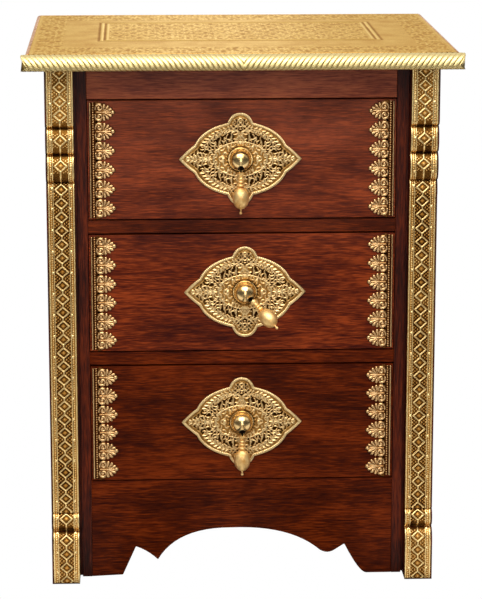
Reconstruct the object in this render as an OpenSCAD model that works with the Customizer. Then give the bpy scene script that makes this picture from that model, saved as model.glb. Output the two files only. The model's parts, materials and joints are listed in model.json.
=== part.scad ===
// Bedside chest of three drawers, dark stained wood with embossed brass fittings.
// Millimetres. +Z is up, the drawers open towards -Y, +X is the right side.
// The origin lies on the floor, under the centre of the top.

/* [Top] */
// Width across the rope moulding
top_w = 480; // [440:5:560]
// Depth from the rope moulding to the edging at the back
top_d = 400; // [370:5:480]
// Thickness of the top at its edge
top_t = 18; // [15:1:24]
// Width of the rope moulding along the front
edge_w = 13; // [10:1:16]
// Height of the small round under the rope moulding
edge_lip = 5; // [3:0.5:6]
// Width of the plain edging along the sides and the back
edging_w = 4.5; // [3:0.5:8]
// How far the rope moulding runs past the plain edging at each end
rope_past = 4; // [2:1:12]
// Thickness of the brass sheet on the top
top_sheet_t = 1; // [0.6:0.2:1.6]
// Overhang of the top past the posts at each side
side_overhang = 24; // [16:1:36]
// Overhang of the top past the posts at the front
front_overhang = 28; // [20:1:40]
// Overhang of the top past the posts at the back
rear_overhang = 20; // [10:1:36]

/* [Posts] */
// Width of a post, seen from the front
post_w = 31.2; // [28:0.4:38]
// Depth of a front post
post_d = 45; // [40:1:60]
// Depth of a rear post
rear_post_d = 31; // [26:1:45]
// Height of the plain block at a post's head
head_h = 58; // [40:1:70]
// Height of the plain block at a post's foot
foot_h = 44; // [30:1:60]
// Set-back of the post's shaft from its head
shaft_back = 12; // [8:1:16]
// Height of the upper bead on a post's head
bead_a_h = 29; // [20:1:36]
// Height of the second bead on a post's head
bead_b_h = 31; // [20:1:36]
// Height of the bead above the foot
bead_c_h = 20; // [14:1:26]
// Height of a sloping shoulder between bead and shaft
shoulder_h = 16; // [10:1:22]
// Thickness of the brass strip on a post
strip_t = 0.8; // [0.6:0.1:1.2]
// Height of the strip's lower end above the floor
strip_lift = 1.5; // [0.5:0.5:6]

/* [Case] */
// Height from the floor to the top edge of the apron
apron_top = 116.5; // [100:0.5:150]
// Height of the rail between two drawers
rail_h = 15; // [12:0.5:24]
// Height of the rail above the top drawer
top_rail_h = 36.5; // [24:0.5:60]
// Thickness of the stiles, the top rail and the apron
frame_t = 20; // [16:1:24]
// Depth of a rail between two drawers
rail_d = 45; // [36:1:60]
// Visible width of a stile, its dark reveal included
stile_w = 14; // [11:0.5:20]
// Set-back of the frame behind the front of the posts
frame_back = 21.5; // [16:0.5:26]
// Width of the reveal between stile and post
reveal_w = 3; // [2:0.5:5]
// Depth of the reveal between stile and post
reveal_d = 5; // [3:0.5:8]
// Length of a tenon on a rail's end
tenon_l = 8; // [5:0.5:9]
// Thickness of a tenon on a rail's end
tenon_t = 9; // [6:0.5:10]
// Thickness of the side panels
side_t = 12; // [9:1:16]
// Set-back of a side panel from the outer face of the posts
side_back = 5; // [3:0.5:8]
// Thickness of the back panel
back_t = 8; // [5:0.5:12]
// Set-back of the back panel from the rear face of the posts
back_back = 6; // [4:0.5:10]
// Depth of the grooves in the posts that hold the panels
groove_d = 5; // [3:0.5:7]
// Height of the panels' lower edge above the floor
panel_lift = 30; // [10:1:60]
// Height of the apron's feet above the floor
apron_lift = 3; // [1:0.5:8]

/* [Drawers] */
// Height of a drawer front
drawer_h = 132; // [120:1:150]
// Thickness of a drawer front
front_t = 18; // [16:0.5:24]
// Gap above and below a drawer front
gap_z = 1.5; // [1:0.1:3]
// Gap at each end of a drawer front
gap_x = 0.8; // [0.6:0.1:2]
// How far a closed drawer front stands proud of the frame
front_proud = 1.5; // [0:0.1:3]
// Gap between the end of a closed drawer's box and the back panel
box_rear_gap = 16; // [6:1:60]
// Height of a drawer's sides
box_h = 116; // [100:1:118]
// Thickness of a drawer's sides and back
box_t = 12; // [9:1:15]
// How much narrower the drawer box is than its front, at each side
box_in = 2; // [1:0.5:4]
// Thickness of a drawer's bottom
bottom_t = 6; // [4:0.5:8]
// Height of the bottom panel above the lower edge of the sides
bottom_lift = 10; // [8:0.5:14]
// Running gap under and beside a drawer box
run_gap = 0.3; // [0.2:0.1:0.6]
// Thickness of a runner under the drawer box
runner_t = 14; // [10:1:20]
// Height of the guide beside the drawer box
guide_h = 14; // [10:1:20]
// Width of the runner inside the drawer's side
runner_in = 6; // [4:1:12]
// Width of a stop block behind a drawer front
stop_w = 25; // [15:1:40]
// Thickness of a stop block
stop_t = 10; // [6:1:14]
// Height of a stop block
stop_h = 6.5; // [4:0.5:7]

/* [Brass fittings] */
// Width of a backplate from tip to tip
plate_w = 135.5; // [110:0.5:150]
// Height of a backplate
plate_h = 103; // [80:0.5:112]
// Thickness of a backplate
plate_t = 1.5; // [1:0.1:2]
// Height of the raised rim and ring on a backplate
rim_h = 0.9; // [0.4:0.1:1.2]
// Thickness of a corner strip
corner_t = 0.8; // [0.5:0.1:1.2]
// Width of a corner strip's straight band
band_w = 7; // [5:0.5:9]
// Length of a leaf on a corner strip
leaf_l = 23.5; // [16:0.5:26]
// Number of leaves on a corner strip
leaf_count = 6; // [4:1:8]
// Gap between a corner strip and the drawer front's edges
corner_gap = 1.8; // [1:0.1:4]
// Radius of a knob's dome
knob_r = 12.4; // [11:0.1:14]
// Length of the straight skirt under the dome
knob_skirt = 5; // [4:0.5:6]
// Radius of the knob's bolt
bolt_r = 3; // [2.5:0.1:3.5]
// Radial clearance of the bolt and of the drop's eye
run_fit = 0.06; // [0.04:0.01:0.09]
// Radius of the pin that carries the drop
pin_r = 1.2; // [1:0.1:1.4]
// Distance of that pin from the knob's axis
pin_drop = 8.6; // [8:0.1:9.2]
// Distance of that pin from the drawer front
pin_out = 13; // [12.6:0.1:13.4]
// Thickness of the drop's tongue
tongue_t = 3; // [2.4:0.1:3.4]
// Radius of the drop's bulb
bulb_r = 9.2; // [7:0.1:9.4]
// Length of the drop from its pin to its tip
drop_l = 51.4; // [46:0.1:56]
// Sideways place of each pull on its drawer, as fitted by hand
pull_x = [-2, 3, -0.5]; // [-5:0.5:5]
// Turn of each knob from upright
knob_turn = [0, 47, 0]; // [-60:1:60]
// Swing of each drop away from its backplate
drop_swing = [0, 42, 0]; // [0:1:44]

/* [Hidden] */
$fn = 48;
levels = ["top", "middle", "bottom"];
sides = [-1, 1];

// Heights, from the floor up
bay_h = drawer_h + 2 * gap_z;
bay_pitch = bay_h + rail_h;
top_bay_z = apron_top + 2 * bay_pitch;
top_rail_z = top_bay_z + bay_h;
post_h = top_rail_z + top_rail_h;
chest_h = post_h + top_t;
function bay_z(level) = top_bay_z - level * bay_pitch;
function front_z(level) = bay_z(level) + gap_z;

// Depths, from the front back
post_front = front_overhang - top_d / 2;
post_rear = top_d / 2 - rear_overhang;
frame_front = post_front + frame_back;
frame_rear = frame_front + frame_t;
rail_rear = frame_front + rail_d;
face_y = frame_front - front_proud;
box_y = face_y + front_t;
back_y = post_rear - back_back - back_t;
box_l = back_y - box_rear_gap - box_y;

// Widths, from the centre out
case_half = top_w / 2 - side_overhang;
post_in = case_half - post_w;
bay_half = post_in - stile_w;
front_half = bay_half - gap_x;
box_half = front_half - box_in;
panel_out = case_half - side_back;
panel_in = panel_out - side_t;

// Colours
wood_red = "#5a2414";
wood_dark = "#47190f";
wood_bare = "#8a5a38";
brass_pale = "#c9a862";
brass_gold = "#b8924a";
steel_grey = "#8a8c8f";

// Fits
panel_slack = 0.2;
sheet_slack = 0.1;
turn_gap = 0.1;

// Points on an ellipse's arc, from angle a to angle b
function arc(cx, cy, rx, ry, a, b, steps) =
    [for (i = [0:steps]) let (t = a + (b - a) * i / steps) [cx + rx * cos(t), cy + ry * sin(t)]];

// Points on a curve from p to r that leans towards q
function bend(p, q, r, steps) =
    [for (i = [0:steps]) let (t = i / steps) p * (1 - t) * (1 - t) + q * 2 * t * (1 - t) + r * t * t];

// Front profile of a post as [set-back, height], from its head to the floor.
groove_a = 9;
groove_b = 13;
groove_c = 15;
head_round = 7;
step_z = 0.8;
head_z = post_h - head_h;
bead_a_z = head_z - head_round - step_z - bead_a_h / 2;
bead_b_z = bead_a_z - bead_a_h / 2 - step_z - bead_b_h / 2;
neck_z = bead_b_z - bead_b_h / 2 - step_z;
bead_c_z = foot_h + shoulder_h + 2 * step_z + bead_c_h / 2;
function bead(z, h, deep, proud) = arc(deep, z, deep - proud, h / 2, 90, 270, 12);
function shoulder(z, deep, proud) = arc(deep, z, deep - proud, shoulder_h, 90, 180, 8);
function post_outline() = concat(
    [[0, post_h]],
    arc(head_round, head_z, head_round, head_round, 180, 270, 6),
    bead(bead_a_z, bead_a_h, groove_a, 2),
    bead(bead_b_z, bead_b_h, groove_b, 4),
    shoulder(neck_z - shoulder_h, groove_c, shaft_back - 1.5),
    [[shaft_back, neck_z - shoulder_h - step_z]],
    [[shaft_back, bead_c_z + bead_c_h / 2 + step_z]],
    bead(bead_c_z, bead_c_h, groove_c, 8),
    shoulder(foot_h, groove_c - 1, 4),
    [[4, 0]]
);

// A flat outline in the YZ plane, given as [set-back from y0, height], drawn from x0 to x1
module across(x0, x1, y0) {
    translate([x0, y0, 0]) rotate([90, 0, 90]) linear_extrude(x1 - x0) children();
}

// A box given by its low and high corners
module block(low, high) {
    translate(low) cube(high - low);
}

// The same solid on the left or on the right
module on_side(s) {
    mirror([s < 0 ? 1 : 0, 0, 0]) children();
}

// Top
screw_ys = [-100, 20, 140];
screw_r = 2;
screw_head_r = 4;
screw_head_h = 3;
screw_l = 40;
screw_bite = 12;
screw_inset = 10;
kicker_in = box_half - box_t - runner_in;
kicker_gap = 1;
kicker_z = front_z(0) + box_h + kicker_gap;
screw_x = kicker_in + screw_inset;
screw_seat = post_h + screw_bite - screw_l;

module at_screws() {
    for (s = sides) for (y = screw_ys) translate([s * screw_x, y, 0]) children();
}

top_half = top_w / 2 - rope_past;
sheet_half = top_half - edging_w;
sheet_front = edge_w - top_d / 2;
sheet_rear = top_d / 2 - edging_w;

module top_board() color(wood_dark) difference() {
    block([-sheet_half, sheet_front, post_h], [sheet_half, sheet_rear, chest_h - top_sheet_t]);
    at_screws() translate([0, 0, screw_seat]) cylinder(r = screw_r, h = screw_l);
}

module top_brass_sheet() color(brass_pale)
    block([-sheet_half, sheet_front, chest_h - top_sheet_t], [sheet_half, sheet_rear, chest_h]);

// The rope moulding's length along the front, round at both ends
module rope_length() intersection() {
    across(-top_w / 2, top_w / 2, -top_d / 2) polygon(concat(
        arc(edge_w, post_h + edge_lip, edge_w, top_t - edge_lip, 90, 180, 12),
        arc(edge_lip, post_h + edge_lip, edge_lip, edge_lip, 180, 270, 6),
        [[edge_w, post_h]]));
    nose = edge_w / 2;
    linear_extrude(chest_h + 1) polygon(concat(
        arc(top_w / 2 - nose, nose - top_d / 2, nose, nose, -90, 90, 12),
        arc(nose - top_w / 2, nose - top_d / 2, nose, nose, 90, 270, 12)));
}

// A length of plain edging, drawn with its outer face at y = -reach, from x0 to x1.
// An end that is mitred draws in by the edging's width.
mitre_gap = 0.1;
module edging(reach, x0, x1, mitre_0, mitre_1) intersection() {
    across(x0, x1, -reach) polygon(concat(
        arc(edging_w, chest_h - edging_w, edging_w, edging_w, 90, 180, 6),
        [[0, post_h], [edging_w, post_h]]));
    linear_extrude(chest_h + 1) polygon([[x0, -reach], [x1, -reach],
        [x1 - mitre_1 * edging_w, edging_w - reach], [x0 + mitre_0 * edging_w, edging_w - reach]]);
}

module top_edge_moulding() color(brass_pale) {
    rope_length();
    rotate(180) edging(top_d / 2, mitre_gap - top_half, top_half - mitre_gap, 1, 1);
    rotate(90) edging(top_half, sheet_front + mitre_gap, top_d / 2 - mitre_gap, 0, 1);
    rotate(270) edging(top_half, mitre_gap - top_d / 2, -sheet_front - mitre_gap, 1, 0);
}

// Posts and panels. The panels' tongues sit in grooves cut into the posts.
module side_panel(s) color(wood_red) on_side(s)
    block([panel_in, post_front + post_d - groove_d, panel_lift],
          [panel_out, post_rear - rear_post_d + groove_d, post_h]);

module side_groove()
    block([panel_in - panel_slack, post_front + post_d - groove_d - panel_slack, panel_lift - panel_slack],
          [panel_out + panel_slack, post_rear - rear_post_d + groove_d + panel_slack, post_h + 1]);

module back_panel() color(wood_dark)
    block([-post_in - groove_d, back_y, panel_lift], [post_in + groove_d, back_y + back_t, post_h]);

module back_groove()
    block([-post_in - groove_d - panel_slack, back_y - panel_slack, panel_lift - panel_slack],
          [post_in + groove_d + panel_slack, back_y + back_t + panel_slack, post_h + 1]);

module front_post(s) color(wood_dark) on_side(s) difference() {
    across(post_in, case_half, post_front) polygon(concat(
        [for (p = post_outline()) p + [strip_t, 0]], [[post_d, 0], [post_d, post_h]]));
    side_groove();
}

module rear_post(s) color(wood_dark) on_side(s) difference() {
    block([post_in, post_rear - rear_post_d, 0], [case_half, post_rear, post_h]);
    side_groove();
    back_groove();
}

module post_brass(s) color(brass_gold) on_side(s) intersection() {
    across(post_in, case_half, post_front) polygon(concat(
        post_outline(),
        [for (i = [len(post_outline()) - 1:-1:0]) post_outline()[i] + [strip_t, 0]]));
    block([post_in, post_front, strip_lift], [case_half, post_front + post_d, post_h]);
}

// Face frame. Each rail is [lower edge, upper edge, tenon's lower edge, tenon's upper edge].
tenon_in = 2;
apron_tenon_h = 60;
frame_rails = [
    [top_rail_z, post_h, top_rail_z + tenon_in, post_h - tenon_in],
    [bay_z(0) - rail_h, bay_z(0), bay_z(0) - rail_h + tenon_in, bay_z(0) - tenon_in],
    [bay_z(1) - rail_h, bay_z(1), bay_z(1) - rail_h + tenon_in, bay_z(1) - tenon_in],
    [apron_lift, apron_top, apron_top - apron_tenon_h, apron_top - tenon_in]
];
tenon_y = frame_front + (frame_t - tenon_t) / 2;

module tenons(rail) for (s = sides) on_side(s)
    block([bay_half - 1, tenon_y, rail[2]], [bay_half + tenon_l, tenon_y + tenon_t, rail[3]]);

module rail(rail, deep) {
    block([-bay_half, frame_front, rail[0]], [bay_half, frame_front + deep, rail[1]]);
    tenons(rail);
}

module stile(s) color(wood_dark) difference() {
    on_side(s) difference() {
        block([bay_half, frame_front, apron_lift], [post_in, frame_rear, post_h]);
        block([post_in - reveal_w, frame_front - 1, 0], [post_in + 1, frame_front + reveal_d, chest_h]);
    }
    for (rail = frame_rails) tenons(rail);
}

module top_rail() color(wood_red) rail(frame_rails[0], frame_t);

module drawer_rail(level) color(wood_red) rail(frame_rails[level + 1], rail_d);

module bottom_drawer_rail() color(wood_dark)
    block([-bay_half, frame_rear, apron_top - rail_h], [bay_half, rail_rear, apron_top]);

// The apron's sawn lower edge, hand cut and a little uneven, from the left foot to the right
apron_edge = concat(
    [[-bay_half, apron_lift], [-136, apron_lift + 1.5]],
    bend([-121, 38], [-107, 33], [-96, 22], 5),
    bend([-96, 22], [-74, 60], [-12, 59], 12),
    bend([-12, 59], [55, 61], [89, 31], 12),
    bend([89, 31], [98, 25.5], [106, 31], 6),
    [[117, 38]],
    bend([117, 38], [134, apron_lift + 1], [142, apron_lift], 6),
    [[bay_half, apron_lift]]
);

module apron() color(wood_red) {
    translate([0, frame_rear, 0]) rotate([90, 0, 0]) linear_extrude(frame_t)
        polygon(concat(apron_edge, [[bay_half, apron_top], [-bay_half, apron_top]]));
    tenons(frame_rails[3]);
}

// Drawer runners, with a bearing under the drawer's side and a guide beside it
module runners(s) color(wood_bare) on_side(s) for (level = [0:2]) {
    seat = front_z(level) - run_gap;
    block([kicker_in, rail_rear, seat - runner_t], [post_in, back_y, seat]);
    block([box_half + run_gap, rail_rear, seat - runner_t],
          [panel_in, post_rear - rear_post_d, seat + guide_h]);
}

module top_kickers() color(wood_bare) difference() {
    for (s = sides) on_side(s)
        block([kicker_in, frame_rear, kicker_z], [post_in, back_y, post_h]);
    at_screws() translate([0, 0, screw_seat]) cylinder(r = screw_r, h = screw_l);
    at_screws() translate([0, 0, kicker_z - 1])
        cylinder(r = screw_head_r + 0.4, h = screw_seat - kicker_z + 1);
}

module top_screws() color(steel_grey) at_screws() {
    translate([0, 0, screw_seat - screw_head_h]) cylinder(r = screw_head_r, h = screw_head_h);
    translate([0, 0, screw_seat - 1]) cylinder(r = screw_r, h = screw_l + 1);
}

stop_x = 100;
module drawer_stops() color(wood_bare) for (level = [0:2]) for (s = sides) on_side(s)
    block([stop_x - stop_w / 2, box_y + run_gap, bay_z(level)],
          [stop_x + stop_w / 2, box_y + run_gap + stop_t, bay_z(level) + stop_h]);

// Drawers. The bottom panel slides into grooves in the front and the sides.
bottom_z = bottom_lift + sheet_slack;
bottom_groove_d = 6;
back_drop = 8;
pull_rise = 0.7;

module bottom_groove(level) {
    in_half = box_half - box_t + bottom_groove_d;
    z = front_z(level) + bottom_lift;
    block([-in_half, box_y - bottom_groove_d, z],
          [in_half, box_y + box_l + 1, z + bottom_t + 2 * sheet_slack]);
}

// Moves a fitting drawn round the origin, facing -Y, to its place on a drawer's face
module at_pull(level) {
    translate([pull_x[level], face_y, front_z(level) + drawer_h / 2 + pull_rise]) children();
}

// A cylinder along Y, from y0 back to y1
module rod(r, y0, y1) {
    translate([0, y1, 0]) rotate([90, 0, 0]) cylinder(r = r, h = y1 - y0);
}

module drawer_front(level) color(wood_red) difference() {
    block([-front_half, face_y, front_z(level)], [front_half, box_y, front_z(level) + drawer_h]);
    bottom_groove(level);
    at_pull(level) rod(bolt_r + run_fit, -1, front_t + 1);
}

module drawer_side(level, s) color(wood_bare) difference() {
    on_side(s) block([box_half - box_t, box_y, front_z(level)],
                     [box_half, box_y + box_l, front_z(level) + box_h]);
    bottom_groove(level);
}

module drawer_back(level) color(wood_bare)
    block([box_t - box_half, box_y + box_l - box_t, front_z(level) + bottom_z + bottom_t],
          [box_half - box_t, box_y + box_l, front_z(level) + box_h - back_drop]);

module drawer_bottom(level) color(wood_bare) {
    in_half = box_half - box_t + bottom_groove_d - panel_slack;
    block([-in_half, box_y - bottom_groove_d + panel_slack, front_z(level) + bottom_z],
          [in_half, box_y + box_l, front_z(level) + bottom_z + bottom_t]);
}

// A leaf of a corner strip: lobed sides that draw in to a point, drawn along +X
leaf_round = 10;
leaf_root = 2;
leaf_half = 10.95;
lobe_depth = 0.8;
lobe_step = 10;
function leaf_reach(turn) = leaf_round + lobe_depth * pow(sin(turn * 9), 2)
    + (leaf_l - leaf_root - leaf_round) * pow(max(cos(turn), 0), 3);
module leaf(half_h) polygon([for (turn = [-100:lobe_step:100])
    [leaf_root + leaf_reach(turn) * cos(turn), leaf_reach(turn) * sin(turn) * half_h / leaf_half]]);

module corner_strip(level, s) color(brass_gold) on_side(s) {
    strip_h = drawer_h - 2 * corner_gap;
    leaf_h = strip_h / leaf_count;
    translate([front_half - corner_gap, face_y, front_z(level) + corner_gap]) mirror([1, 0, 0])
        rotate([90, 0, 0]) linear_extrude(corner_t) {
            square([band_w, strip_h]);
            for (i = [0.5:leaf_count - 0.5]) translate([band_w - 1, i * leaf_h]) leaf(leaf_h / 2);
        }
}

// Backplate outline: side tips, a shoulder between two notches, and a round lobe above and below
notch_low = [0.75, 0.3];
notch_high = [0.21, 0.78];
plate_quarter = concat(
    bend([1, 0], [0.86, 0.2], notch_low, 5),
    bend(notch_low, [0.63, 0.65], notch_high, 9),
    bend(notch_high, [0.15, 1], [0, 1], 7)
);
plate_last = len(plate_quarter) - 1;
plate_points = concat(
    plate_quarter,
    [for (i = [plate_last - 1:-1:0]) [-plate_quarter[i][0], plate_quarter[i][1]]],
    [for (i = [1:plate_last]) [-plate_quarter[i][0], -plate_quarter[i][1]]],
    [for (i = [plate_last - 1:-1:1]) [plate_quarter[i][0], -plate_quarter[i][1]]]
);
module plate_outline(inset) polygon([for (p = plate_points)
    [p[0] * (plate_w / 2 - inset), p[1] * (plate_h / 2 - inset)]]);

ring_half = [29, 19];
ring_w = 2.2;
rim_w = 3.5;
function oval(inset) = arc(0, 0, ring_half[0] - inset, ring_half[1] - inset, 0, 350, 35);

module backplate(level) color(brass_gold) at_pull(level) difference() {
    rotate([90, 0, 0]) {
        linear_extrude(plate_t) plate_outline(0);
        linear_extrude(plate_t + rim_h) difference() {
            plate_outline(0);
            plate_outline(rim_w);
        }
        linear_extrude(plate_t + rim_h) difference() {
            polygon(oval(0));
            polygon(oval(ring_w));
        }
    }
    rod(bolt_r + run_fit, -plate_t - 1, 1);
}

// Knob: a dome with a slot for the drop's tongue, a round mouth drilled into it from the front,
// and a bolt through the drawer front
knob_back = -plate_t - turn_gap;
dome_y = knob_back - knob_skirt;
brim_w = 0.7;
brim_h = 1.2;
slot_slack = 0.8;
slot_reach = 3.6;
mouth_r = 3.6;
mouth_z = -8.8;
eye_r = 2.8;
nut_r = 6;
nut_h = 4;
washer_r = 8;
washer_h = 1;
nut_y = front_t + turn_gap;
bolt_end = nut_y + washer_h + nut_h + 1.5;

// Turns a knob's pieces round the bolt, towards the lower right when positive
module turned(level) at_pull(level) rotate([0, -knob_turn[level], 0]) children();

module pin_bore(r, half_l) translate([-half_l, -pin_out, -pin_drop])
    rotate([0, 90, 0]) cylinder(r = r, h = 2 * half_l);

module knob(level) color(brass_pale) turned(level) difference() {
    union() {
        intersection() {
            translate([0, dome_y, 0]) sphere(r = knob_r, $fn = 64);
            block([-knob_r, dome_y - knob_r - 1, -knob_r], [knob_r, dome_y, knob_r]);
        }
        rod(knob_r, dome_y, knob_back);
        rod(knob_r + brim_w, knob_back - brim_h, knob_back);
        rod(bolt_r, knob_back - 1, bolt_end);
    }
    block([-(tongue_t + slot_slack) / 2, dome_y - knob_r - 2, -knob_r - 2],
          [(tongue_t + slot_slack) / 2, slot_reach - pin_out, slot_reach - pin_drop]);
    translate([0, 0, mouth_z]) rod(mouth_r, dome_y - knob_r, slot_reach - pin_out);
    pin_bore(pin_r, knob_r);
}

pin_half_l = 5.2;
module knob_pin(level) color(steel_grey) turned(level) pin_bore(pin_r, pin_half_l);

module knob_nut(level) color(steel_grey) turned(level) difference() {
    union() {
        rod(washer_r, nut_y, nut_y + washer_h);
        translate([0, nut_y + washer_h + nut_h, 0]) rotate([90, 0, 0])
            cylinder(r = nut_r, h = nut_h, $fn = 6);
    }
    rod(bolt_r, 0, bolt_end + 1);
}

// Drop: an eye on a tongue, a flared cup, three collar rings, an egg-shaped bulb and a bead.
// Each ring is [height, how far it stands out, half its thickness].
neck_r = 2;
cup_r = 3.8;
cup_z = -4.6;
collar_rings = [[-11.2, 1.3, 1.3], [-14.5, 1.7, 1.5], [-18.6, 2.5, 1.8]];
collar_end = collar_rings[2][0] - collar_rings[2][2];
tip_r = 1.6;
tip_neck = 2.6;
bulb_z = collar_end - (drop_l + collar_end) * 0.4;
drop_profile = concat(
    [[0, cup_z], [cup_r, cup_z - 0.2], [cup_r - 0.2, -6.4]],
    bend([3, -7.4], [neck_r, -8.4], [neck_r, -9.4], 3),
    [for (ring = collar_rings) each arc(neck_r, ring[0], ring[1], ring[2], 90, -90, 6)],
    arc(0, bulb_z, bulb_r, collar_end - bulb_z, 72, 0, 8),
    arc(0, bulb_z, bulb_r, drop_l + bulb_z - 2 * tip_r - tip_neck, -8, -84, 9),
    arc(0, tip_r - drop_l, tip_r, tip_r, 50, -90, 7)
);

module drop(level) color(brass_pale) turned(level) translate([0, -pin_out, -pin_drop])
    rotate([-drop_swing[level], 0, 0]) difference() {
        union() {
            rotate_extrude() polygon(drop_profile);
            rotate([90, 0, 90]) translate([0, 0, -tongue_t / 2]) linear_extrude(tongue_t) {
                circle(r = eye_r);
                translate([-neck_r, -6]) square([2 * neck_r, 6]);
            }
        }
        rotate([0, 90, 0]) translate([0, 0, -tongue_t]) cylinder(r = pin_r + run_fit, h = 2 * tongue_t);
    }

top_board();
top_brass_sheet();
top_edge_moulding();
front_post(-1);  // front_post_left
front_post(1);  // front_post_right
rear_post(-1);  // rear_post_left
rear_post(1);  // rear_post_right
post_brass(-1);  // post_brass_left
post_brass(1);  // post_brass_right
side_panel(-1);  // side_panel_left
side_panel(1);  // side_panel_right
back_panel();
stile(-1);  // stile_left
stile(1);  // stile_right
top_rail();
drawer_rail(0);  // upper_drawer_rail
drawer_rail(1);  // lower_drawer_rail
bottom_drawer_rail();
apron();
runners(-1);  // runners_left
runners(1);  // runners_right
top_kickers();
drawer_stops();
top_screws();

for (level = [0:2]) {
    drawer_front(level);
    drawer_side(level, -1);
    drawer_side(level, 1);
    drawer_back(level);
    drawer_bottom(level);
    corner_strip(level, -1);
    corner_strip(level, 1);
    backplate(level);
    knob(level);
    knob_pin(level);
    knob_nut(level);
    drop(level);
}
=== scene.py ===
import json
import math

import bmesh
import bpy
import numpy as np
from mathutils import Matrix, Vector

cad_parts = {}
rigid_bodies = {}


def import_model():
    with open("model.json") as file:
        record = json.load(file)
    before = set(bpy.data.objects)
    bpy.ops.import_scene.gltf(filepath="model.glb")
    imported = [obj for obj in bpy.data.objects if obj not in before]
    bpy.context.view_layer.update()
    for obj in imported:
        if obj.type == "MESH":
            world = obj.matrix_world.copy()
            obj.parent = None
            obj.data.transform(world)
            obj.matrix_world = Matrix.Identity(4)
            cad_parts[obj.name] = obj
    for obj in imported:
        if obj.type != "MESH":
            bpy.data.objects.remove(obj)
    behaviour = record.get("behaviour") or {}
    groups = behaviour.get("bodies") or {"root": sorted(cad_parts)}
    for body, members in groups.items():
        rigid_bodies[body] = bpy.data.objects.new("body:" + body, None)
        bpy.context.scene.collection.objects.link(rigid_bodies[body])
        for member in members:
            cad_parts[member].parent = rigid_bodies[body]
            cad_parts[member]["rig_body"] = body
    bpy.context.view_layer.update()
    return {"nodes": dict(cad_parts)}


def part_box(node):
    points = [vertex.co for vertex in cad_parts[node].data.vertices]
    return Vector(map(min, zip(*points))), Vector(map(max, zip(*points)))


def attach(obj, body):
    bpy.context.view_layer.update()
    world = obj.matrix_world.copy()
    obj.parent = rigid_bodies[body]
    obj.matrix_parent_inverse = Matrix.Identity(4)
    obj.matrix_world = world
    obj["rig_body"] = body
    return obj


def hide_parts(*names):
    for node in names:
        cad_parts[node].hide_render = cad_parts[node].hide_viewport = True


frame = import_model()

MM = 0.001
LEVELS = ("top", "middle", "bottom")
SIDES = {"left": -1, "right": 1}
body_of = {name: obj["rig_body"] for name, obj in frame["nodes"].items()}


# Camera, where the photograph was taken from. Its focal length is given in the photograph's pixels.
PHOTO_HEIGHT = 599
FOCAL_PIXELS = 2526.9
CAMERA_PLACE = Vector((-0.120, -2.9024, 0.9428))
CAMERA_YAW = math.radians(2.472)
CAMERA_DIP = math.radians(12.634)


def photo_camera():
    data = bpy.data.cameras.new("camera")
    data.sensor_fit = "VERTICAL"
    data.sensor_height = 36
    data.lens = FOCAL_PIXELS * data.sensor_height / PHOTO_HEIGHT
    camera = bpy.data.objects.new("camera", data)
    bpy.context.scene.collection.objects.link(camera)
    ahead = Vector((math.sin(CAMERA_YAW) * math.cos(CAMERA_DIP),
                    math.cos(CAMERA_YAW) * math.cos(CAMERA_DIP), -math.sin(CAMERA_DIP)))
    camera.location = CAMERA_PLACE
    camera.rotation_euler = ahead.to_track_quat("-Z", "Y").to_euler()
    bpy.context.scene.camera = camera


# Colours and nodes

def srgb(text):
    """Linear colour of an sRGB hex value."""
    parts = [int(text[i:i + 2], 16) / 255 for i in (1, 3, 5)]
    return [c / 12.92 if c <= 0.04045 else ((c + 0.055) / 1.055) ** 2.4 for c in parts] + [1]


def add(tree, kind, inputs=None, stops=(), **settings):
    """A new node with its settings. An input is a value or another node's output. A colour ramp
    takes its stops as pairs of a place and an sRGB hex value."""
    made = tree.nodes.new(kind)
    for name, value in settings.items():
        setattr(made, name, value)
    for name, value in (inputs or {}).items():
        if isinstance(value, bpy.types.NodeSocket):
            tree.links.new(value, made.inputs[name])
        else:
            made.inputs[name].default_value = value
    for i, (place, colour) in enumerate(stops):
        elements = made.color_ramp.elements
        element = elements[i] if i < 2 else elements.new(place)
        element.position = place
        element.color = srgb(colour)
    return made


def new_material(name):
    material = bpy.data.materials.new(name)
    material.use_nodes = True
    material.node_tree.nodes.clear()
    return material, material.node_tree


# Stained hardwood, planed and rubbed to a semi-gloss lacquer: short dark streaks, fine lines and
# open pores along the grain, and patches where the stain took less or more. It gives the eye a deep
# red-brown with a soft sheen. In the upper part of the front a paler sheen is painted into the colour
# in patches, rising with height. Each mark's size is along and across the grain, in millimetres.
STREAK = (48, 2.6)
LINE = (15, 0.9)
PORE = (9, 0.5)
PATCH = (100, 38)
PAINTED_SHEEN = "#a25e44"
SHEEN_FROM = 360 * MM
SHEEN_TO = 580 * MM


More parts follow.
